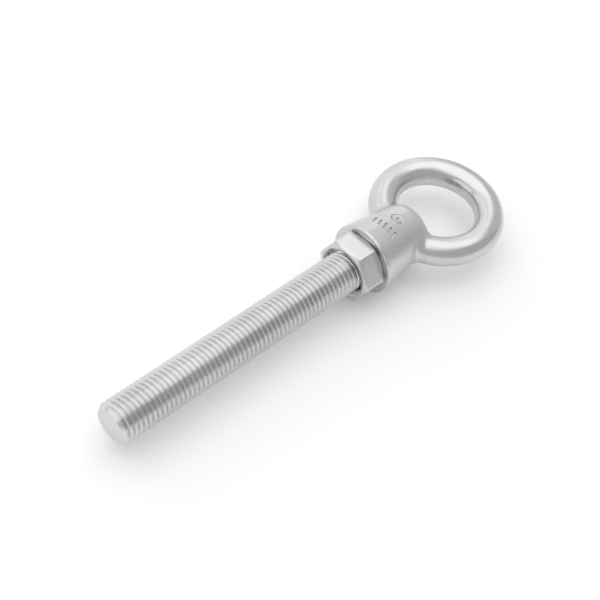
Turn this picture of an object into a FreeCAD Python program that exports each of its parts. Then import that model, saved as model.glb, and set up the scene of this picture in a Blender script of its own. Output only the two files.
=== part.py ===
"""Eye bolt: a forged eye with a tapped collar, a fully threaded stud and a hexagon lock nut.

Frame: millimetres. The stud's axis is the X axis, the ring is on its +X side and lies flat in
the XY plane, and +Z is up. The origin is the middle of the lock nut's free face, which bears
on whatever the stud is screwed into. The thread is M16 x 2. Its turns are drawn as plain rings
one pitch apart, so the lock nut fits the stud at every whole pitch of its travel.
"""
import FreeCAD
import Part
import math
import os

# Thread, M16 x 2
MAJOR_R = 8.0
PITCH = 2.0
ROOT_DEPTH = 0.6134 * PITCH
INNER_CREST_DEPTH = 0.5413 * PITCH
THREAD_GAP = 0.15
FLANK = math.tan(math.radians(30))
HIDDEN_CREST_R = 7.8

# Lock nut
NUT_HEIGHT = 10.0
NUT_ACROSS_FLATS = 22.0
NUT_FACE_RATIO = 0.97
NUT_CHAMFER_DEG = 30.0
NUT_TURN_DEG = 26.4
NUT_MOUTH_R = 9.9
MOUTH_SLOPE = math.tan(math.radians(45))

# Collar of the eye, whose seat bears on the nut
SEAT_X = NUT_HEIGHT
SEAT_R = 14.0
SEAT_ROUND = 0.6
SEAT_MOUTH_R = 8.5
NECK_X = SEAT_X + 23.0
NECK_R = 11.2
DOME_ROUND = 5.0
DOME_X = NECK_X + DOME_ROUND

# Ring of the eye
RING_X = SEAT_X + 41.2
RING_R = 20.8
WIRE_R = 5.6
ARM_FILLET = 2.0

# Stud, from its free end to its end inside the eye
FREE_END_X = -54 * PITCH
BURIED_END_X = SEAT_X + 25.0
END_CHAMFER = 1.5

# How far a cutting shape runs past the surface that it cuts
OVERCUT = 1.0
# How near to a surface a point lies on it
ON_SURFACE = 0.01

AXIS_START = FreeCAD.Vector(0, 0, 0)
AXIS = FreeCAD.Vector(1, 0, 0)
UP = FreeCAD.Vector(0, 0, 1)


def at(x, r):
    """A point of a half section: x along the stud, r out from its axis."""
    return FreeCAD.Vector(x, 0, r)


def revolved(wire):
    """The solid of revolution of a closed half section about the stud's axis."""
    return Part.Face(wire).revolve(AXIS_START, AXIS, 360)


def turned(points):
    """A turned shape with straight edges between the points of its half section."""
    return revolved(Part.makePolygon(points + [points[0]]))


def thread_section(x0, x1, crest_r, root_r, crest_flat):
    """Zigzag points of thread rings over x0 to x1, with a crest centred on every whole pitch.

    crest_r is a function of x, so that one stretch of the thread can have lower crests.
    """
    points = []
    first = math.floor(x0 / PITCH)
    last = math.ceil(x1 / PITCH)
    for turn in range(first, last + 1):
        x = turn * PITCH
        r = crest_r(x)
        half_crest = crest_flat / 2 + (MAJOR_R - r) * FLANK
        half_foot = half_crest + (r - root_r) * FLANK
        points += [at(x - half_foot, root_r), at(x - half_crest, r)]
        points += [at(x + half_crest, r), at(x + half_foot, root_r)]
    return points


def threaded_rod(x0, x1, crest_r, root_r, crest_flat):
    """A rod with thread rings, cut square at x0 and x1."""
    section = thread_section(x0, x1, crest_r, root_r, crest_flat)
    rod = turned([at(section[0].x, 0)] + section + [at(section[-1].x, 0)])
    sleeve = Part.makeCylinder(MAJOR_R + OVERCUT, x1 - x0, at(x0, 0), AXIS)
    return rod.common(sleeve)


def thread_cutter(x0, x1):
    """What a tap takes out between x0 and x1: the stud's thread, enlarged by the thread gap."""
    groove_r = MAJOR_R + THREAD_GAP
    ridge_r = groove_r - INNER_CREST_DEPTH
    groove_flat = PITCH / 8 + 2 * THREAD_GAP * FLANK
    return threaded_rod(x0, x1, lambda x: groove_r, ridge_r, groove_flat)


def countersink(x, toward, mouth_r):
    """The conical mouth of a tapped hole at the face x. toward is +1 if the hole runs to +X."""
    bottom_r = MAJOR_R - INNER_CREST_DEPTH
    depth = (mouth_r - bottom_r) / MOUTH_SLOPE
    return turned(
        [
            at(x - toward * OVERCUT, 0),
            at(x - toward * OVERCUT, mouth_r + OVERCUT * MOUTH_SLOPE),
            at(x + toward * depth, bottom_r),
            at(x + toward * depth, 0),
        ]
    )


def stud():
    """The fully threaded rod. Its crests are a little lower where the nut and the eye hold it."""

    def crest(x):
        return HIDDEN_CREST_R if x > -PITCH / 2 else MAJOR_R

    rod = threaded_rod(FREE_END_X, BURIED_END_X, crest, MAJOR_R - ROOT_DEPTH, PITCH / 8)
    tip_r = MAJOR_R - END_CHAMFER
    blank = turned(
        [
            at(FREE_END_X, 0),
            at(FREE_END_X, tip_r),
            at(FREE_END_X + END_CHAMFER, MAJOR_R),
            at(FREE_END_X + 2 * END_CHAMFER, MAJOR_R + END_CHAMFER),
            at(BURIED_END_X - 2 * END_CHAMFER, MAJOR_R + END_CHAMFER),
            at(BURIED_END_X - END_CHAMFER, MAJOR_R),
            at(BURIED_END_X, tip_r),
            at(BURIED_END_X, 0),
        ]
    )
    return rod.common(blank)


def nut_blank():
    """A hexagon bar cut to length, with both ends turned to a 30 degree chamfer."""
    corner_r = NUT_ACROSS_FLATS / math.sqrt(3)
    corners = []
    for side in range(7):
        a = math.radians(NUT_TURN_DEG + 60 * side)
        corners.append(FreeCAD.Vector(0, -corner_r * math.sin(a), corner_r * math.cos(a)))
    bar = Part.Face(Part.makePolygon(corners)).extrude(AXIS * NUT_HEIGHT)
    face_r = NUT_FACE_RATIO * NUT_ACROSS_FLATS / 2
    rise = corner_r + OVERCUT - face_r
    run = rise * math.tan(math.radians(NUT_CHAMFER_DEG))
    turning = turned(
        [
            at(0, 0),
            at(0, face_r),
            at(run, face_r + rise),
            at(NUT_HEIGHT - run, face_r + rise),
            at(NUT_HEIGHT, face_r),
            at(NUT_HEIGHT, 0),
        ]
    )
    return bar.common(turning)


def lock_nut():
    """The thin hexagon nut that locks the eye on the stud."""
    nut = nut_blank().cut(thread_cutter(-OVERCUT, NUT_HEIGHT + OVERCUT))
    nut = nut.cut(countersink(0, 1, NUT_MOUTH_R))
    return nut.cut(countersink(NUT_HEIGHT, -1, NUT_MOUTH_R))


def collar():
    """The tapering neck of the eye, from its flat seat to the dome inside the ring."""
    diagonal = math.radians(45)
    lean = math.atan2(SEAT_R - NECK_R, NECK_X - SEAT_X - SEAT_ROUND)
    seat_start = at(SEAT_X, SEAT_R - SEAT_ROUND)
    seat_middle = at(
        SEAT_X + SEAT_ROUND * (1 - math.cos(diagonal)),
        SEAT_R - SEAT_ROUND * (1 - math.sin(diagonal)),
    )
    seat_end = at(SEAT_X + SEAT_ROUND, SEAT_R)
    neck_end = at(NECK_X, NECK_R)
    dome_middle = at(
        NECK_X + DOME_ROUND * math.sin(diagonal + lean / 2),
        NECK_R - DOME_ROUND * (1 - math.cos(diagonal + lean / 2)),
    )
    dome_end = at(DOME_X, NECK_R - DOME_ROUND)
    outline = [
        Part.LineSegment(at(SEAT_X, 0), seat_start),
        Part.Arc(seat_start, seat_middle, seat_end),
        Part.LineSegment(seat_end, neck_end),
        Part.Arc(neck_end, dome_middle, dome_end),
        Part.LineSegment(dome_end, at(DOME_X, 0)),
        Part.LineSegment(at(DOME_X, 0), at(SEAT_X, 0)),
    ]
    return revolved(Part.Wire([curve.toShape() for curve in outline]))


def eye():
    """The forged ring and collar in one piece, tapped through into the ring."""
    ring = Part.makeTorus(RING_R, WIRE_R, FreeCAD.Vector(RING_X, 0, 0), UP)
    forging = collar().fuse(ring)
    forging = forging.makeFillet(ARM_FILLET, arm_edges(forging))
    forging = forging.cut(thread_cutter(SEAT_X - OVERCUT, DOME_X + OVERCUT))
    return forging.cut(countersink(SEAT_X, 1, SEAT_MOUTH_R))


def arm_edges(forging):
    """The edges where the ring's arms run out of the collar."""
    edges = []
    for edge in forging.Edges:
        middle = edge.valueAt((edge.FirstParameter + edge.LastParameter) / 2)
        off_ring = math.hypot(math.hypot(middle.x - RING_X, middle.y) - RING_R, middle.z)
        if abs(off_ring - WIRE_R) < ON_SURFACE and abs(middle.y) < SEAT_R:
            edges.append(edge)
    return edges


def write(name, shape):
    """One sub-part to one STEP file."""
    shape.Solids[0].exportStep(os.path.join("parts", name + ".step"))


os.makedirs("parts", exist_ok=True)
write("stud", stud())
write("lock_nut", lock_nut())
write("eye", eye())
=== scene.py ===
"""Looks of a lifting eye bolt: threaded stud, thin lock nut and forged eye, in stainless steel.

Lengths are metres. The stud's axis is X, the ring lies flat, and +Z is up. The thread's helix is
measured from the stud's axis: a crest passes x = pitch * angle / one turn, with the angle from +Y.
"""
import math

import bmesh
import bpy
import numpy as np
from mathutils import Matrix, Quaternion, Vector


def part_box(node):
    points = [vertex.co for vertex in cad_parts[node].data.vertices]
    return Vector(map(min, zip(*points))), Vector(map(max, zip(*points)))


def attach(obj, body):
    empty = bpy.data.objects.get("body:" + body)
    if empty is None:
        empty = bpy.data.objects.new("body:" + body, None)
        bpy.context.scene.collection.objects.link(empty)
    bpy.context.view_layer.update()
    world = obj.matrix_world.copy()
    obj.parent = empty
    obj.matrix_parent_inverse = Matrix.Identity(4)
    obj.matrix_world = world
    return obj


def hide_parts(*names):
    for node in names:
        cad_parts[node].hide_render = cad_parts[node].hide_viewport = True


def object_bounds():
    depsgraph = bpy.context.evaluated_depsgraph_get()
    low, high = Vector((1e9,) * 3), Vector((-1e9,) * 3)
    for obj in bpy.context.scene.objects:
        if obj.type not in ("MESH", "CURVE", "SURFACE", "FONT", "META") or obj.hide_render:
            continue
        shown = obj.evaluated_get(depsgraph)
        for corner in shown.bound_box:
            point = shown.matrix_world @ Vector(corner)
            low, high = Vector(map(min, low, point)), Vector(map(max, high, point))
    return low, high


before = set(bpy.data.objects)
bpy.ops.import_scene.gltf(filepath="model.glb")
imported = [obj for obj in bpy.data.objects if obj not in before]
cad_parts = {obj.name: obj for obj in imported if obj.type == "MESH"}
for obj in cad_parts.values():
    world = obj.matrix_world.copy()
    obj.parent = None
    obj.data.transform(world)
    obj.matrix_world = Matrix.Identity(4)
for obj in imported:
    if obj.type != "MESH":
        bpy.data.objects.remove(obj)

CAD_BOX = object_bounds()
MM = 0.001

# Sizes read from the frame
STUD_LOW, STUD_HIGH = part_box("stud")
NUT_LOW, NUT_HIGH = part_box("lock_nut")
EYE_LOW, EYE_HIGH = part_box("eye")

# Points this close are one point
WELD = 0.002 * MM

# Thread, M16 x 2
PITCH = 2 * MM
MAJOR_R = STUD_HIGH.z
ROOT_DEPTH = 1.19 * MM
CREST_FLAT = PITCH / 8
THREAD_ROUND = 0.1 * MM
THREAD_GAP = 0.15 * MM
INNER_CREST_DEPTH = 1.08 * MM
FLANK_SLOPE = math.sqrt(3)
ROWS_PER_PITCH = 16
SPARE_TURNS = 3
END_CHAMFER = 1.5 * MM
STUD_SEGMENTS = 72

# Lock nut
NUT_LENGTH = NUT_HIGH.x - NUT_LOW.x
NUT_APOTHEM = 11 * MM
NUT_FACE_R = 0.97 * NUT_APOTHEM
NUT_CORNER_DEG = 26.4
NUT_MOUTH_R = 9.9 * MM
NUT_EDGE_BREAK = 0.12 * MM
NUT_SEGMENTS = 96
NUT_ROWS = 4

# Collar and ring of the eye
SEAT_X = EYE_LOW.x
SEAT_R = EYE_HIGH.z
SEAT_ROUND = 0.6 * MM
NECK_R = 11.2 * MM
NECK_X = SEAT_X + 23 * MM
DOME_ROUND = 5 * MM
DOME_X = NECK_X + DOME_ROUND
WIRE_R = 5.6 * MM
RING_R = EYE_HIGH.y - WIRE_R
RING_X = EYE_HIGH.x - EYE_HIGH.y
ARM_FILLET = 2 * MM
BORE_R = MAJOR_R + THREAD_GAP
SEAT_MOUTH_R = 8.5 * MM
DOME_EDGE_BREAK = 0.4 * MM
EYE_VOXEL = 0.5 * MM
BORE_SEGMENTS = 96
SMOOTHING_ROUNDS = 8
SMOOTHING_SHARE = 0.6
SETTLING_ROUNDS = 3

# Plain stamp on the top of the collar: a ring with a dot, and a row of slanted strokes below it
STAMP_GROOVE_R = 0.44 * MM
STAMP_LIFT = -0.05 * MM
STAMP_RING_X = SEAT_X + 16.2 * MM
STAMP_RING_R = 2.3 * MM
STAMP_ROW_X = SEAT_X + 9.2 * MM
STAMP_STROKES = 5
STAMP_STROKE_STEP = 2.5 * MM
STAMP_STROKE_LENGTH = 3.4 * MM
STAMP_STROKE_LEAN = 1.1 * MM

# Stainless steel's own colour, and how far its tint drifts
STEEL = (0.61, 0.6, 0.615)
THREAD_STEEL = (0.65, 0.64, 0.655)
TINT_DRIFT = 0.04

# Roughness from the smoothest to the roughest patch, and what marks and scratches add to it
STUD_ROUGH = (0.17, 0.25)
STUD_MARKS_ROUGH = 0.06
STUD_END_ROUGH = 0.12
NUT_ROUGH = (0.26, 0.32)
NUT_NICKS_ROUGH = 0.08
COLLAR_ROUGH = (0.27, 0.35)
RING_ROUGH = (0.22, 0.3)
SCUFFS_ROUGH = 0.07

# Depth of the surface relief; a minus sign sinks it
STUD_MARKS_DEPTH = 0.004 * MM
NUT_MARKS_DEPTH = 0.0008 * MM
NUT_NICKS_DEPTH = -0.001 * MM
EYE_SWELL_DEPTH = 0.02 * MM
EYE_GRAIN_DEPTH = 0.0012 * MM
SCUFFS_DEPTH = -0.0015 * MM

# Range in which nearly all of the soft noise lies
NOISE_RANGE = (0.3, 0.7)

# How bright the room and the ground are by themselves, and the ground's colour and size
ROOM_LIGHT = 0.54
GROUND_GLOW = 0.1
GROUND_COLOR = (0.9, 0.9, 0.9)
GROUND_ROUGH = 0.9
GROUND_HALF_WIDTH = 3.0

# Soft panels: name, direction, distance, width, height and brightness
PANELS = (
    ("overhead panel", (0, 0.1, 1), 1.1, 2.0, 1.5, 0.67),
    ("rear overhead panel", (0.1, 0.4, 1), 1.2, 2.0, 2.0, 0.3),
    ("back panel", (0.15, 1, 0.35), 1.2, 2.4, 0.9, 0.55),
    ("ring end panel", (1, 0.1, 0.4), 1.2, 1.4, 0.8, 0.18),
    ("free end panel", (-1, 0.3, 0.3), 1.2, 1.2, 0.8, 0.64),
)

# View of the object
AIM = Vector((-24.8, -2.4, 5.2)) * MM
DISTANCE = 0.5
AZIMUTH_DEG = -53.0
ELEVATION_DEG = 50.6
ROLL_DEG = 12.2
LENS_MM = 84.8
SENSOR_MM = 36


# ---------------------------------------------------------------- node trees

def wire_up(tree, socket, value):
    """Sets a node's input to a number, or links it to another node's output."""
    if isinstance(value, bpy.types.NodeSocket):
        tree.links.new(value, socket)
    else:
        socket.default_value = value


def maths(tree, operation, *values):
    """A Math node and its output."""
    node = tree.nodes.new("ShaderNodeMath")
    node.operation = operation
    for socket, value in zip(node.inputs, values):
        wire_up(tree, socket, value)
    return node.outputs[0]


def add(tree, kind, settings=None, **inputs):
    """A node of that kind, with its settings and its named inputs, underscores read as spaces."""
    node = tree.nodes.new(kind)
    for key, value in (settings or {}).items():
        setattr(node, key, value)
    for key, value in inputs.items():
        wire_up(tree, node.inputs[key.replace("_", " ")], value)
    return node


# ------------------------------------------------------------------- threads

THREAD_INPUTS = {
    "Pitch": ("NodeSocketFloat", PITCH),
    "Crest Radius": ("NodeSocketFloat", MAJOR_R),
    "Root Radius": ("NodeSocketFloat", MAJOR_R - ROOT_DEPTH),
    "Crest Flat": ("NodeSocketFloat", CREST_FLAT),
    "Edge Round": ("NodeSocketFloat", THREAD_ROUND),
    "From X": ("NodeSocketFloat", 0.0),
    "To X": ("NodeSocketFloat", 10 * MM),
    "Mouth Radius": ("NodeSocketFloat", MAJOR_R),
    "Mouth Slope": ("NodeSocketFloat", 1.0),
    "Side": ("NodeSocketFloat", 1.0),
    "Start Angle": ("NodeSocketFloat", 0.0),
    "Segments": ("NodeSocketInt", 96),
    "Rows Per Pitch": ("NodeSocketInt", ROWS_PER_PITCH),
    "Capped": ("NodeSocketBool", True),
    "Finish": ("NodeSocketMaterial", None),
}


def thread_tree():
    """A node tree that winds a 60 degree thread round the X axis.

    A flat sheet, one turn wide and as long as the thread, is rolled up with a lean of one pitch,
    so its two long edges meet one turn apart and weld. Side is +1 for a thread cut on a rod and
    -1 for one cut in a hole. The ends are turned down, or opened out, to the mouth radius.
    """
    tree = bpy.data.node_groups.new("screw thread", "GeometryNodeTree")
    for label, (kind, value) in THREAD_INPUTS.items():
        socket = tree.interface.new_socket(name=label, in_out="INPUT", socket_type=kind)
        if value is not None:
            socket.default_value = value
    tree.interface.new_socket(name="Mesh", in_out="OUTPUT", socket_type="NodeSocketGeometry")
    given = tree.nodes.new("NodeGroupInput").outputs

    span = maths(tree, "SUBTRACT", given["To X"], given["From X"])
    turns = maths(tree, "ADD", maths(tree, "DIVIDE", span, given["Pitch"]), SPARE_TURNS)
    turns = maths(tree, "CEIL", turns)
    rows = maths(tree, "ADD", maths(tree, "MULTIPLY", turns, given["Rows Per Pitch"]), 1.0)
    columns = maths(tree, "ADD", given["Segments"], 1.0)
    sheet = add(
        tree, "GeometryNodeMeshGrid", Size_X=turns, Size_Y=1.0, Vertices_X=rows, Vertices_Y=columns
    )
    position = tree.nodes.new("GeometryNodeInputPosition").outputs[0]
    flat = add(tree, "ShaderNodeSeparateXYZ", Vector=position)
    along = maths(tree, "ADD", flat.outputs["X"], maths(tree, "DIVIDE", turns, 2.0))
    around = maths(tree, "ADD", flat.outputs["Y"], 0.5)

    start_turn = maths(tree, "DIVIDE", given["Start Angle"], math.tau)
    turn = maths(tree, "ADD", around, start_turn)
    first = maths(tree, "FLOOR", maths(tree, "DIVIDE", given["From X"], given["Pitch"]))
    first = maths(tree, "SUBTRACT", first, 2.0)
    loose_x = maths(tree, "ADD", maths(tree, "ADD", along, turn), first)
    loose_x = maths(tree, "MULTIPLY", loose_x, given["Pitch"])
    x = maths(tree, "MINIMUM", maths(tree, "MAXIMUM", loose_x, given["From X"]), given["To X"])

    phase = maths(tree, "SUBTRACT", maths(tree, "DIVIDE", x, given["Pitch"]), turn)
    off_crest = maths(tree, "SUBTRACT", phase, maths(tree, "ROUND", phase))
    off_crest = maths(tree, "MULTIPLY", maths(tree, "ABSOLUTE", off_crest), given["Pitch"])
    past_flat = maths(tree, "SUBTRACT", off_crest, maths(tree, "DIVIDE", given["Crest Flat"], 2.0))
    past_flat = maths(tree, "SMOOTH_MAX", past_flat, 0.0, given["Edge Round"])
    fall = maths(tree, "MULTIPLY", past_flat, FLANK_SLOPE)
    flank_r = maths(tree, "SUBTRACT", given["Crest Radius"], fall)
    thread_r = maths(tree, "SMOOTH_MAX", flank_r, given["Root Radius"], given["Edge Round"])

    from_end = maths(tree, "SUBTRACT", x, given["From X"])
    to_end = maths(tree, "SUBTRACT", given["To X"], x)
    end_gap = maths(tree, "MINIMUM", from_end, to_end)
    mouth = maths(tree, "MULTIPLY", given["Mouth Radius"], given["Side"])
    mouth = maths(tree, "ADD", mouth, maths(tree, "MULTIPLY", end_gap, given["Mouth Slope"]))
    sided = maths(tree, "MINIMUM", maths(tree, "MULTIPLY", thread_r, given["Side"]), mouth)
    radius = maths(tree, "MULTIPLY", sided, given["Side"])

    angle = maths(tree, "MULTIPLY", turn, math.tau)
    rolled = add(
        tree,
        "ShaderNodeCombineXYZ",
        X=x,
        Y=maths(tree, "MULTIPLY", radius, maths(tree, "COSINE", angle)),
        Z=maths(tree, "MULTIPLY", radius, maths(tree, "SINE", angle)),
    )
    wound = add(
        tree, "GeometryNodeSetPosition", Geometry=sheet.outputs["Mesh"], Position=rolled.outputs[0]
    )
    parts = add(tree, "GeometryNodeJoinGeometry")
    tree.links.new(wound.outputs[0], parts.inputs[0])
    for end in ("From X", "To X"):
        tree.links.new(end_cap(tree, given, given[end]), parts.inputs[0])
    whole = chosen(tree, given["Capped"], wound.outputs[0], parts.outputs[0])
    welded = add(tree, "GeometryNodeMergeByDistance", Geometry=whole, Distance=WELD)
    real = add(tree, "GeometryNodeRealizeInstances", Geometry=welded.outputs[0])
    finished = add(
        tree, "GeometryNodeSetMaterial", Geometry=real.outputs[0], Material=given["Finish"]
    )
    tree.links.new(finished.outputs[0], tree.nodes.new("NodeGroupOutput").inputs[0])
    return tree


def chosen(tree, condition, otherwise, if_true):
    """One of two geometries."""
    node = tree.nodes.new("GeometryNodeSwitch")
    node.input_type = "GEOMETRY"
    wire_up(tree, node.inputs["Switch"], condition)
    wire_up(tree, node.inputs["False"], otherwise)
    wire_up(tree, node.inputs["True"], if_true)
    return node.outputs[0]


def end_cap(tree, given, x):
    """A disc that closes the thread at x."""
    disc = add(
        tree,
        "GeometryNodeMeshCircle",
        {"fill_type": "TRIANGLE_FAN"},
        Vertices=given["Segments"],
        Radius=given["Mouth Radius"],
    )
    spot = add(tree, "ShaderNodeCombineXYZ", X=x)
    turned = add(
        tree,
        "GeometryNodeTransform",
        Geometry=disc.outputs["Mesh"],
        Translation=spot.outputs[0],
        Rotation=(math.pi / 2, 0, math.pi / 2),
    )
    return turned.outputs[0]


def grown(name, tree, finish, **values):
    """A plain mesh object made by a node tree with those named inputs."""
    seed = bpy.data.objects.new(name + " seed", bpy.data.meshes.new(name + " seed"))
    bpy.context.scene.collection.objects.link(seed)
    maker = seed.modifiers.new("make", "NODES")
    maker.node_group = tree
    sockets = [item for item in tree.interface.items_tree if item.in_out == "INPUT"]
    keys = {socket.name: socket.identifier for socket in sockets}
    maker[keys["Finish"]] = finish
    for label, value in values.items():
        maker[keys[label.replace("_", " ")]] = value
    graph = bpy.context.evaluated_depsgraph_get()
    mesh = bpy.data.meshes.new_from_object(seed.evaluated_get(graph))
    seed.modifiers.remove(maker)
    bpy.data.objects.remove(seed)
    return linked(name, mesh)


# ----------------------------------------------------------------- mesh work

def linked(name, mesh):
    """An object in the scene that shows the mesh."""
    mesh.name = name
    thing = bpy.data.objects.new(name, mesh)
    bpy.context.scene.collection.objects.link(thing)
    return thing


def tidy_faces(thing, sharp_deg):
    """Welds the mesh, points its faces outwards and shades it smooth up to that angle."""
    work = bmesh.new()
    work.from_mesh(thing.data)
    bmesh.ops.remove_doubles(work, verts=work.verts, dist=WELD)
    bmesh.ops.dissolve_degenerate(work, edges=work.edges, dist=WELD / 2)
    bmesh.ops.recalc_face_normals(work, faces=work.faces)
    for face in work.faces:
        face.smooth = True
    limit = math.radians(sharp_deg)
    for edge in work.edges:
        edge.smooth = len(edge.link_faces) == 2 and edge.calc_face_angle(0) < limit
    work.to_mesh(thing.data)
    work.free()


def stack_rings(rings, closed):
    """A mesh through rings of points, each ring with as many points as the next."""
    count = len(rings[0])
    points = [point for ring in rings for point in ring]
    faces = []
    last = (len(rings) - 1) * count
    for start in range(0, last, count):
        for i in range(count):
            here = start + i
            beside = start + (i + 1) % count
            faces.append((here, beside, beside + count, here + count))
    if closed:
        faces.append(tuple(range(count - 1, -1, -1)))
        faces.append(tuple(range(last, last + count)))
    mesh = bpy.data.meshes.new("rings")
    mesh.from_pydata(points, [], faces)
    return mesh


def around_axis(x, radius, angle):
    """The point at x along the stud's axis, that far out, at that angle from +Y."""
    return (x, radius * math.cos(angle), radius * math.sin(angle))


def turned_ring(x, radius, angles):
    """Points round the stud's axis at those angles, all at x and the same distance out."""
    return [around_axis(x, radius, angle) for angle in angles]


def whole_turn(count):
    """Evenly spaced angles over one turn."""
    return [math.tau * i / count for i in range(count)]


def apply_modifiers(thing):
    """Turns what the modifiers make of a mesh into the mesh itself."""
    graph = bpy.context.evaluated_depsgraph_get()
    mesh = bpy.data.meshes.new_from_object(thing.evaluated_get(graph))
    thing.modifiers.clear()
    thing.data = mesh


def cut_away(thing, cutter):
    """Takes the cutter's volume out of a mesh."""
    cut = thing.modifiers.new("cut", "BOOLEAN")
    cut.operation = "DIFFERENCE"
    cut.solver = "EXACT"
    cut.object = cutter
    apply_modifiers(thing)
    bpy.data.objects.remove(cutter)


# ---------------------------------------------------------------------- stud

def make_stud(tree, finish):
    """The fully threaded rod, chamfered at both ends."""
    stud = grown(
        "threaded_stud",
        tree,
        finish,
        From_X=STUD_LOW.x,
        To_X=STUD_HIGH.x,
        Mouth_Radius=MAJOR_R - END_CHAMFER,
        Segments=STUD_SEGMENTS,
    )
    tidy_faces(stud, 40)
    return stud


# ------------------------------------------------------------------ lock nut

def hexagon_r(angle, corner):
    """How far out the hexagon's flat lies in that direction."""
    sixth = math.pi / 3
    off_middle = (angle - corner) % sixth - sixth / 2
    return NUT_APOTHEM / math.cos(off_middle)


def make_lock_nut(tree, finish):
    """The hexagon with a 30 degree chamfer on both ends, tapped through."""
    corner = math.radians(90 + NUT_CORNER_DEG)
    angles = [corner + math.tau * i / NUT_SEGMENTS for i in range(NUT_SEGMENTS)]
    rings = [turned_ring(0, NUT_MOUTH_R, angles), turned_ring(0, NUT_FACE_R, angles)]
    for row in range(NUT_ROWS + 1):
        share = row / NUT_ROWS
        ring = []
        for a in angles:
            flat_r = hexagon_r(a, corner)
            chamfer = (flat_r - NUT_FACE_R) / FLANK_SLOPE
            ring.append(around_axis(chamfer + share * (NUT_LENGTH - 2 * chamfer), flat_r, a))
        rings.append(ring)
    rings.append(turned_ring(NUT_LENGTH, NUT_FACE_R, angles))
    rings.append(turned_ring(NUT_LENGTH, NUT_MOUTH_R, angles))
    shell = linked("hexagon_lock_nut", stack_rings(rings, closed=False))
    edges = shell.modifiers.new("broken edges", "BEVEL")
    edges.width = NUT_EDGE_BREAK
    edges.segments = 2
    edges.limit_method = "ANGLE"
    edges.angle_limit = math.radians(20)
    apply_modifiers(shell)
    tapped = grown(
        "tapping",
        tree,
        finish,
        Crest_Radius=BORE_R,
        Root_Radius=BORE_R - INNER_CREST_DEPTH,
        Crest_Flat=CREST_FLAT + 2 * THREAD_GAP / FLANK_SLOPE,
        From_X=0.0,
        To_X=NUT_LENGTH,
        Mouth_Radius=NUT_MOUTH_R,
        Mouth_Slope=1.0,
        Side=-1.0,
        Start_Angle=corner,
        Segments=NUT_SEGMENTS,
        Capped=False,
    )
    work = bmesh.new()
    work.from_mesh(shell.data)
    work.from_mesh(tapped.data)
    work.to_mesh(shell.data)
    work.free()
    bpy.data.objects.remove(tapped)
    tidy_faces(shell, 25)
    shell.data.materials.clear()
    shell.data.materials.append(finish)
    return shell


# ----------------------------------------------------------------------- eye

def rounded_overlap(a, b, radius):
    """Distance to what two solids share, with the edge where they meet rounded off."""
    inside = np.minimum(-radius, np.maximum(a, b))
    return inside + np.hypot(np.maximum(radius + a, 0), np.maximum(radius + b, 0))


def filleted_union(a, b, radius):
    """Distance to two solids together, with the corner between them filled to that radius."""
    outside = np.maximum(radius, np.minimum(a, b))
    return outside - np.hypot(np.maximum(radius - a, 0), np.maximum(radius - b, 0))


def eye_distance(points):
    """How far each point lies outside the forging: the collar, the ring and their fillets."""
    x, y, z = points.T
    out = np.hypot(y, z)
    lean = math.atan2(SEAT_R - NECK_R, NECK_X - SEAT_X - SEAT_ROUND)
    neck = (out - SEAT_R) * math.cos(lean) + (x - SEAT_X - SEAT_ROUND) * math.sin(lean)
    collar = rounded_overlap(neck, SEAT_X - x, SEAT_ROUND)
    collar = rounded_overlap(collar, x - DOME_X, DOME_ROUND)
    ring = np.hypot(np.hypot(x - RING_X, y) - RING_R, z) - WIRE_R
    return filleted_union(collar, ring, ARM_FILLET)


def eye_normals(points):
    """The forging's outward direction at each point."""
    step = 0.01 * MM
    slope = np.empty_like(points)
    for axis in range(3):
        shift = np.zeros(3)
        shift[axis] = step
        slope[:, axis] = eye_distance(points + shift) - eye_distance(points - shift)
    return slope / np.linalg.norm(slope, axis=1, keepdims=True)


def rough_eye():
    """The collar and the ring as plain turned shapes, welded into one even skin."""
    collar_profile = [
        (SEAT_X, SEAT_R - SEAT_ROUND),
        (SEAT_X + SEAT_ROUND, SEAT_R),
        (NECK_X, NECK_R),
        (NECK_X + 0.7 * DOME_ROUND, NECK_R - 0.3 * DOME_ROUND),
        (DOME_X, NECK_R - DOME_ROUND),
    ]
    rings = [turned_ring(x, radius, whole_turn(48)) for x, radius in collar_profile]
    blank = linked("forged_eye", stack_rings(rings, closed=True))
    bpy.ops.mesh.primitive_torus_add(
        location=(RING_X, 0, 0),
        major_radius=RING_R,
        minor_radius=WIRE_R,
        major_segments=96,
        minor_segments=32,
    )
    hoop = bpy.context.object
    work = bmesh.new()
    work.from_mesh(hoop.data)
    work.transform(hoop.matrix_world)
    work.from_mesh(blank.data)
    bmesh.ops.recalc_face_normals(work, faces=work.faces)
    work.to_mesh(blank.data)
    work.free()
    bpy.data.objects.remove(hoop)
    skin = blank.modifiers.new("skin", "REMESH")
    skin.mode = "VOXEL"
    skin.voxel_size = EYE_VOXEL
    apply_modifiers(blank)
    return blank


def settle_on_surface(thing):
    """Evens the skin out and moves every vertex exactly onto the forging's surface."""
    mesh = thing.data
    count = len(mesh.vertices)
    points = np.empty(count * 3)
    mesh.vertices.foreach_get("co", points)
    points = points.reshape(-1, 3)
    ends = np.empty(len(mesh.edges) * 2, int)
    mesh.edges.foreach_get("vertices", ends)
    ends = ends.reshape(-1, 2)
    degree = np.bincount(ends.ravel(), minlength=count)[:, None]
    for _ in range(SMOOTHING_ROUNDS):
        total = np.zeros_like(points)
        np.add.at(total, ends[:, 0], points[ends[:, 1]])
        np.add.at(total, ends[:, 1], points[ends[:, 0]])
        points = points + SMOOTHING_SHARE * (total / degree - points)
        for _ in range(SETTLING_ROUNDS):
            points = points - eye_distance(points)[:, None] * eye_normals(points)
    mesh.vertices.foreach_set("co", points.ravel())
    mesh.update()


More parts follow.
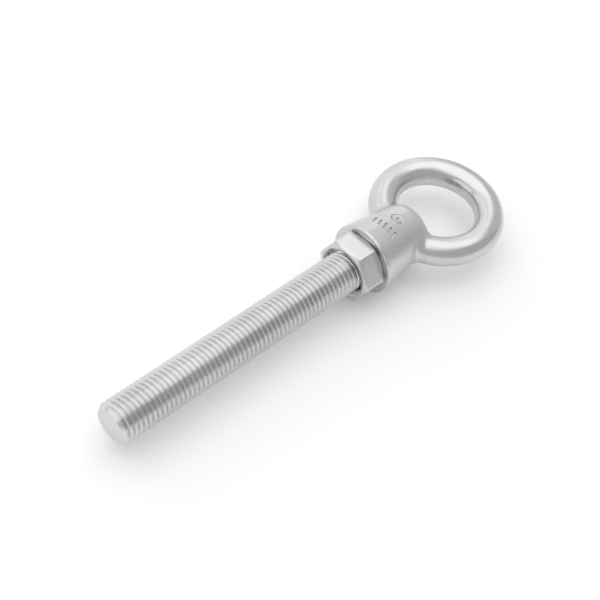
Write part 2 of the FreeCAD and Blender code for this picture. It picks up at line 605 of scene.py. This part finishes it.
def bore_tool():
    """The outline of the hole, countersunk at the seat and eased where it meets the dome."""
    over = 1 * MM
    outline = [
        (SEAT_X - over, SEAT_MOUTH_R + over),
        (SEAT_X, SEAT_MOUTH_R),
        (SEAT_X + SEAT_MOUTH_R - BORE_R, BORE_R),
        (DOME_X - DOME_EDGE_BREAK, BORE_R),
        (DOME_X + over, BORE_R + over + DOME_EDGE_BREAK),
    ]
    angles = whole_turn(BORE_SEGMENTS)
    return stack_rings([turned_ring(x, radius, angles) for x, radius in outline], closed=True)


def on_collar_top(x, across):
    """The point of the collar's surface at x, that far round from its top line."""
    taper = (SEAT_R - NECK_R) / (NECK_X - SEAT_X - SEAT_ROUND)
    out = SEAT_R - (x - SEAT_X - SEAT_ROUND) * taper
    return Vector(around_axis(x, out + STAMP_LIFT, math.pi / 2 - across / out))


def groove_tool(path, closed):
    """A round bar along the path, which leaves a groove where it is cut out of the collar."""
    sides = 8
    rings = []
    for i, point in enumerate(path):
        before = path[i - 1] if closed or i else point
        after = path[(i + 1) % len(path)] if closed or i < len(path) - 1 else point
        along = (after - before).normalized()
        outward = Vector((0, point.y, point.z)).normalized()
        aside = along.cross(outward).normalized()
        outward = aside.cross(along)
        ring = []
        for angle in whole_turn(sides):
            spoke = math.cos(angle) * outward + math.sin(angle) * aside
            ring.append(point + STAMP_GROOVE_R * spoke)
        rings.append(ring)
    if closed:
        rings.append(rings[0])
    return stack_rings(rings, closed=not closed)


def stamp_tools():
    """The bars that sink the stamp: one for the ring, one for its dot and one for each stroke."""
    ring = []
    for angle in whole_turn(28):
        along = STAMP_RING_R * math.cos(angle)
        ring.append(on_collar_top(STAMP_RING_X + along, STAMP_RING_R * math.sin(angle)))
    tools = [groove_tool(ring, closed=True)]
    dot = [on_collar_top(STAMP_RING_X + shift * STAMP_GROOVE_R, 0) for shift in (-1, 1)]
    tools.append(groove_tool(dot, closed=False))
    for i in range(STAMP_STROKES):
        across = (i - (STAMP_STROKES - 1) / 2) * STAMP_STROKE_STEP
        stroke = []
        for share in (-0.5, 0, 0.5):
            x = STAMP_ROW_X + share * STAMP_STROKE_LENGTH
            stroke.append(on_collar_top(x, across + share * STAMP_STROKE_LEAN))
        tools.append(groove_tool(stroke, closed=False))
    return tools


def make_eye(finish):
    """The forged ring and collar, with the fillets where the ring's arms leave the collar."""
    eye = rough_eye()
    settle_on_surface(eye)
    work = bmesh.new()
    for tool in [bore_tool()] + stamp_tools():
        work.from_mesh(tool)
    bmesh.ops.remove_doubles(work, verts=work.verts, dist=WELD)
    bmesh.ops.recalc_face_normals(work, faces=work.faces)
    cutter = linked("cutter", bpy.data.meshes.new("cutter"))
    work.to_mesh(cutter.data)
    work.free()
    cut_away(eye, cutter)
    tidy_faces(eye, 30)
    eye.data.materials.clear()
    eye.data.materials.append(finish)
    return eye


# ----------------------------------------------------------------- materials

def steel(name, color, cloud):
    """Bare stainless steel, its tint drifting in clouds of that size, its tree and its shader."""
    finish = bpy.data.materials.new(name)
    finish.use_nodes = True
    tree = finish.node_tree
    shader = tree.nodes["Principled BSDF"]
    shader.inputs["Metallic"].default_value = 1.0
    drift = noise(tree, place(tree), cloud, detail=3)
    tint = add(tree, "ShaderNodeMix", {"data_type": "RGBA"})
    tree.links.new(spread(tree, drift, 0, 1, *NOISE_RANGE), tint.inputs["Factor"])
    tints = [socket for socket in tint.inputs if socket.type == "RGBA"]
    tints[0].default_value = (*[(1 - TINT_DRIFT) * part for part in color], 1)
    tints[1].default_value = (*[(1 + TINT_DRIFT) * part for part in color], 1)
    result = [socket for socket in tint.outputs if socket.type == "RGBA"][0]
    tree.links.new(result, shader.inputs["Base Color"])
    return finish, tree, shader


def place(tree):
    """Where the surface is, in metres in the piece's own frame."""
    return tree.nodes.new("ShaderNodeTexCoord").outputs["Object"]


def facing(tree):
    """Which way the surface faces, in the piece's own frame."""
    return tree.nodes.new("ShaderNodeTexCoord").outputs["Normal"]


def noise(tree, vector, cloud, detail):
    """Soft noise between 0 and 1, with clouds of that size."""
    return add(
        tree, "ShaderNodeTexNoise", Vector=vector, Scale=1 / cloud, Detail=detail
    ).outputs["Fac"]


def spread(tree, value, low, high, start=0.0, end=1.0):
    """Maps start..end to low..high, with soft ends and nothing outside them."""
    return add(
        tree,
        "ShaderNodeMapRange",
        {"interpolation_type": "SMOOTHSTEP"},
        Value=value,
        From_Min=start,
        From_Max=end,
        To_Min=low,
        To_Max=high,
    ).outputs["Result"]


def length(tree, a, b):
    """How long the diagonal of a by b is."""
    squares = maths(tree, "ADD", maths(tree, "POWER", a, 2.0), maths(tree, "POWER", b, 2.0))
    return maths(tree, "SQRT", squares)


def round_axis(tree):
    """The surface unrolled round the stud's axis: along it, round it and out from it."""
    parts = add(tree, "ShaderNodeSeparateXYZ", Vector=place(tree)).outputs
    out = length(tree, parts["Y"], parts["Z"])
    return parts["X"], maths(tree, "ARCTAN2", parts["Z"], parts["Y"]), out


def round_ring(tree):
    """The surface unrolled along the ring's bar: round the ring, and round the bar."""
    parts = add(tree, "ShaderNodeSeparateXYZ", Vector=place(tree)).outputs
    across = maths(tree, "SUBTRACT", parts["X"], RING_X)
    out = length(tree, across, parts["Y"])
    round_bar = maths(tree, "ARCTAN2", parts["Z"], maths(tree, "SUBTRACT", out, RING_R))
    return maths(tree, "ARCTAN2", parts["Y"], across), round_bar


def lines(tree, along, across, step, run):
    """Fine lines that run with along, about step apart in across and as long as run."""
    vector = add(
        tree,
        "ShaderNodeCombineXYZ",
        X=maths(tree, "DIVIDE", along, run),
        Y=maths(tree, "DIVIDE", across, step),
    ).outputs[0]
    return noise(tree, vector, cloud=1.0, detail=3)


def scratches(tree, turn_deg, step, run, share):
    """A few thin scratches in one direction, 1 where the surface is scratched and 0 elsewhere."""
    turned = add(
        tree,
        "ShaderNodeMapping",
        Vector=place(tree),
        Rotation=[math.radians(part) for part in turn_deg],
        Scale=(1 / step, 1 / step, 1 / run),
    )
    streaks = noise(tree, turned.outputs[0], cloud=1.0, detail=1)
    return spread(tree, streaks, 0, 1, 1 - share, 1.04 - share)


def mixed(tree, share, first, second):
    """first where share is 0, second where it is 1."""
    keep = maths(tree, "MULTIPLY", first, maths(tree, "SUBTRACT", 1.0, share))
    return maths(tree, "ADD", keep, maths(tree, "MULTIPLY", second, share))


def dent(tree, shader, *layers):
    """Surface relief, from pairs of a height between 0 and 1 and its depth in metres."""
    normal = None
    for height, depth in layers:
        bump = add(tree, "ShaderNodeBump", Height=height, Strength=1.0, Distance=depth)
        if normal:
            tree.links.new(normal, bump.inputs["Normal"])
        normal = bump.outputs[0]
    tree.links.new(normal, shader.inputs["Normal"])


def stud_steel():
    """Rolled thread: bright flanks, fine rolling lines along the helix and turned ends."""
    finish, tree, shader = steel("rolled_thread_steel", THREAD_STEEL, cloud=30 * MM)
    along, angle, out = round_axis(tree)
    rolling = lines(tree, angle, along, step=0.09 * MM, run=0.9)
    turning = lines(tree, angle, out, step=0.12 * MM, run=1.2)
    end = spread(tree, maths(tree, "ABSOLUTE", normal_x(tree)), 0, 1, 0.93, 0.99)
    marks = mixed(tree, end, rolling, turning)
    smudge = noise(tree, place(tree), cloud=6 * MM, detail=4)
    marked = spread(tree, marks, 0, STUD_MARKS_ROUGH, *NOISE_RANGE)
    rough = maths(tree, "ADD", spread(tree, smudge, *STUD_ROUGH, *NOISE_RANGE), marked)
    rough = maths(tree, "ADD", rough, maths(tree, "MULTIPLY", end, STUD_END_ROUGH))
    tree.links.new(rough, shader.inputs["Roughness"])
    dent(tree, shader, (marks, STUD_MARKS_DEPTH))
    return finish


def normal_x(tree):
    """How far the surface faces along the stud's axis."""
    return add(tree, "ShaderNodeSeparateXYZ", Vector=facing(tree)).outputs["X"]


def nut_steel():
    """Drawn hexagon bar: fine draw lines along the flats, turning marks on the ends."""
    finish, tree, shader = steel("machined_steel", STEEL, cloud=12 * MM)
    along, angle, out = round_axis(tree)
    round_nut = maths(tree, "MULTIPLY", angle, NUT_APOTHEM)
    drawn = lines(tree, along, round_nut, step=0.11 * MM, run=3 * MM)
    turning = lines(tree, angle, out, step=0.1 * MM, run=1.5)
    end = spread(tree, maths(tree, "ABSOLUTE", normal_x(tree)), 0, 1, 0.3, 0.6)
    marks = mixed(tree, end, drawn, turning)
    smudge = noise(tree, place(tree), cloud=4 * MM, detail=4)
    nicks = scratches(tree, (20, 65, 0), step=0.25 * MM, run=4 * MM, share=0.3)
    nicked = maths(tree, "MULTIPLY", nicks, NUT_NICKS_ROUGH)
    rough = maths(tree, "ADD", spread(tree, smudge, *NUT_ROUGH, *NOISE_RANGE), nicked)
    tree.links.new(rough, shader.inputs["Roughness"])
    dent(tree, shader, (marks, NUT_MARKS_DEPTH), (nicks, NUT_NICKS_DEPTH))
    return finish


def eye_steel():
    """Forging: the collar tumbled satin, the ring polished along its bar, both lightly scuffed."""
    finish, tree, shader = steel("forged_steel", STEEL, cloud=18 * MM)
    along, _, _ = round_axis(tree)
    round_eye, round_bar = round_ring(tree)
    ring = spread(tree, along, 0, 1, DOME_X - 6 * MM, DOME_X + 6 * MM)
    pits = noise(tree, place(tree), cloud=0.5 * MM, detail=3)
    along_bar = maths(tree, "MULTIPLY", round_eye, RING_R)
    round_bar = maths(tree, "MULTIPLY", round_bar, WIRE_R)
    polish = lines(tree, along_bar, round_bar, step=0.14 * MM, run=5 * MM)
    smudge = noise(tree, place(tree), cloud=7 * MM, detail=5)
    scuffs = maths(
        tree,
        "MAXIMUM",
        scratches(tree, (70, 25, 0), step=0.3 * MM, run=6 * MM, share=0.3),
        scratches(tree, (15, 80, 40), step=0.3 * MM, run=5 * MM, share=0.3),
    )
    satin = spread(tree, smudge, *COLLAR_ROUGH, *NOISE_RANGE)
    bright = spread(tree, smudge, *RING_ROUGH, *NOISE_RANGE)
    rough = mixed(tree, ring, satin, bright)
    rough = maths(tree, "ADD", rough, maths(tree, "MULTIPLY", scuffs, SCUFFS_ROUGH))
    tree.links.new(rough, shader.inputs["Roughness"])
    swell = noise(tree, place(tree), cloud=5 * MM, detail=2)
    grain = mixed(tree, ring, pits, polish)
    dent(tree, shader, (swell, EYE_SWELL_DEPTH), (grain, EYE_GRAIN_DEPTH), (scuffs, SCUFFS_DEPTH))
    return finish


# --------------------------------------------------------------------- scene

def add_ground():
    """The plain pale ground that the bolt lies on."""
    half = GROUND_HALF_WIDTH
    height = CAD_BOX[0].z
    mesh = bpy.data.meshes.new("ground")
    sheet = [(-half, -half), (half, -half), (half, half), (-half, half)]
    mesh.from_pydata([(x, y, height) for x, y in sheet], [], [(0, 1, 2, 3)])
    ground = linked("ground", mesh)
    paint = bpy.data.materials.new("pale_ground")
    paint.use_nodes = True
    shader = paint.node_tree.nodes["Principled BSDF"]
    shader.inputs["Base Color"].default_value = (*GROUND_COLOR, 1)
    shader.inputs["Roughness"].default_value = GROUND_ROUGH
    shader.inputs["Emission Color"].default_value = (1, 1, 1, 1)
    shader.inputs["Emission Strength"].default_value = GROUND_GLOW
    mesh.materials.append(paint)


def add_panel(name, toward, distance, width, height, level):
    """A soft rectangular light that faces the bolt from that direction, as bright as level."""
    lamp = bpy.data.lights.new(name, "AREA")
    lamp.shape = "RECTANGLE"
    lamp.size = width
    lamp.size_y = height
    lamp.energy = level * math.pi * width * height
    panel = bpy.data.objects.new(name, lamp)
    direction = Vector(toward).normalized()
    panel.location = direction * distance
    panel.rotation_mode = "QUATERNION"
    panel.rotation_quaternion = (-direction).to_track_quat("-Z", "Y")
    panel.visible_camera = False
    bpy.context.scene.collection.objects.link(panel)


def add_room():
    """A dim room with a white backdrop, and soft panels round the bolt."""
    world = bpy.data.worlds.new("studio")
    world.use_nodes = True
    tree = world.node_tree
    room = tree.nodes["Background"]
    room.inputs["Strength"].default_value = ROOM_LIGHT
    backdrop = add(tree, "ShaderNodeBackground", Strength=1.0)
    for light in (room, backdrop):
        light.inputs["Color"].default_value = (1, 1, 1, 1)
    seen = add(tree, "ShaderNodeLightPath").outputs["Is Camera Ray"]
    both = add(tree, "ShaderNodeMixShader", Fac=seen)
    tree.links.new(room.outputs[0], both.inputs[1])
    tree.links.new(backdrop.outputs[0], both.inputs[2])
    tree.links.new(both.outputs[0], tree.nodes["World Output"].inputs[0])
    bpy.context.scene.world = world
    for panel in PANELS:
        add_panel(*panel)


def add_camera():
    """The view from above the stud's free end, over its side."""
    azimuth = math.radians(AZIMUTH_DEG)
    elevation = math.radians(ELEVATION_DEG)
    back = Vector(
        (
            math.sin(azimuth) * math.cos(elevation),
            -math.cos(azimuth) * math.cos(elevation),
            math.sin(elevation),
        )
    )
    camera = bpy.data.objects.new("camera", bpy.data.cameras.new("camera"))
    camera.data.lens = LENS_MM
    camera.data.sensor_width = SENSOR_MM
    camera.data.clip_start = 0.01
    camera.location = AIM + back * DISTANCE
    camera.rotation_mode = "QUATERNION"
    level = (-back).to_track_quat("-Z", "Y")
    camera.rotation_quaternion = Quaternion(back, math.radians(ROLL_DEG)) @ level
    bpy.context.scene.collection.objects.link(camera)
    bpy.context.scene.camera = camera


thread = thread_tree()
stud = make_stud(thread, stud_steel())
lock_nut = make_lock_nut(thread, nut_steel())
eye = make_eye(eye_steel())
for piece, body, slot in (
    (stud, "stud", "stud_steel"),
    (lock_nut, "lock_nut", "nut_steel"),
    (eye, "eye", "eye_steel"),
):
    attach(piece, body)
    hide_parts(body)

add_ground()
add_room()
add_camera()
bpy.context.scene.view_settings.view_transform = "Standard"
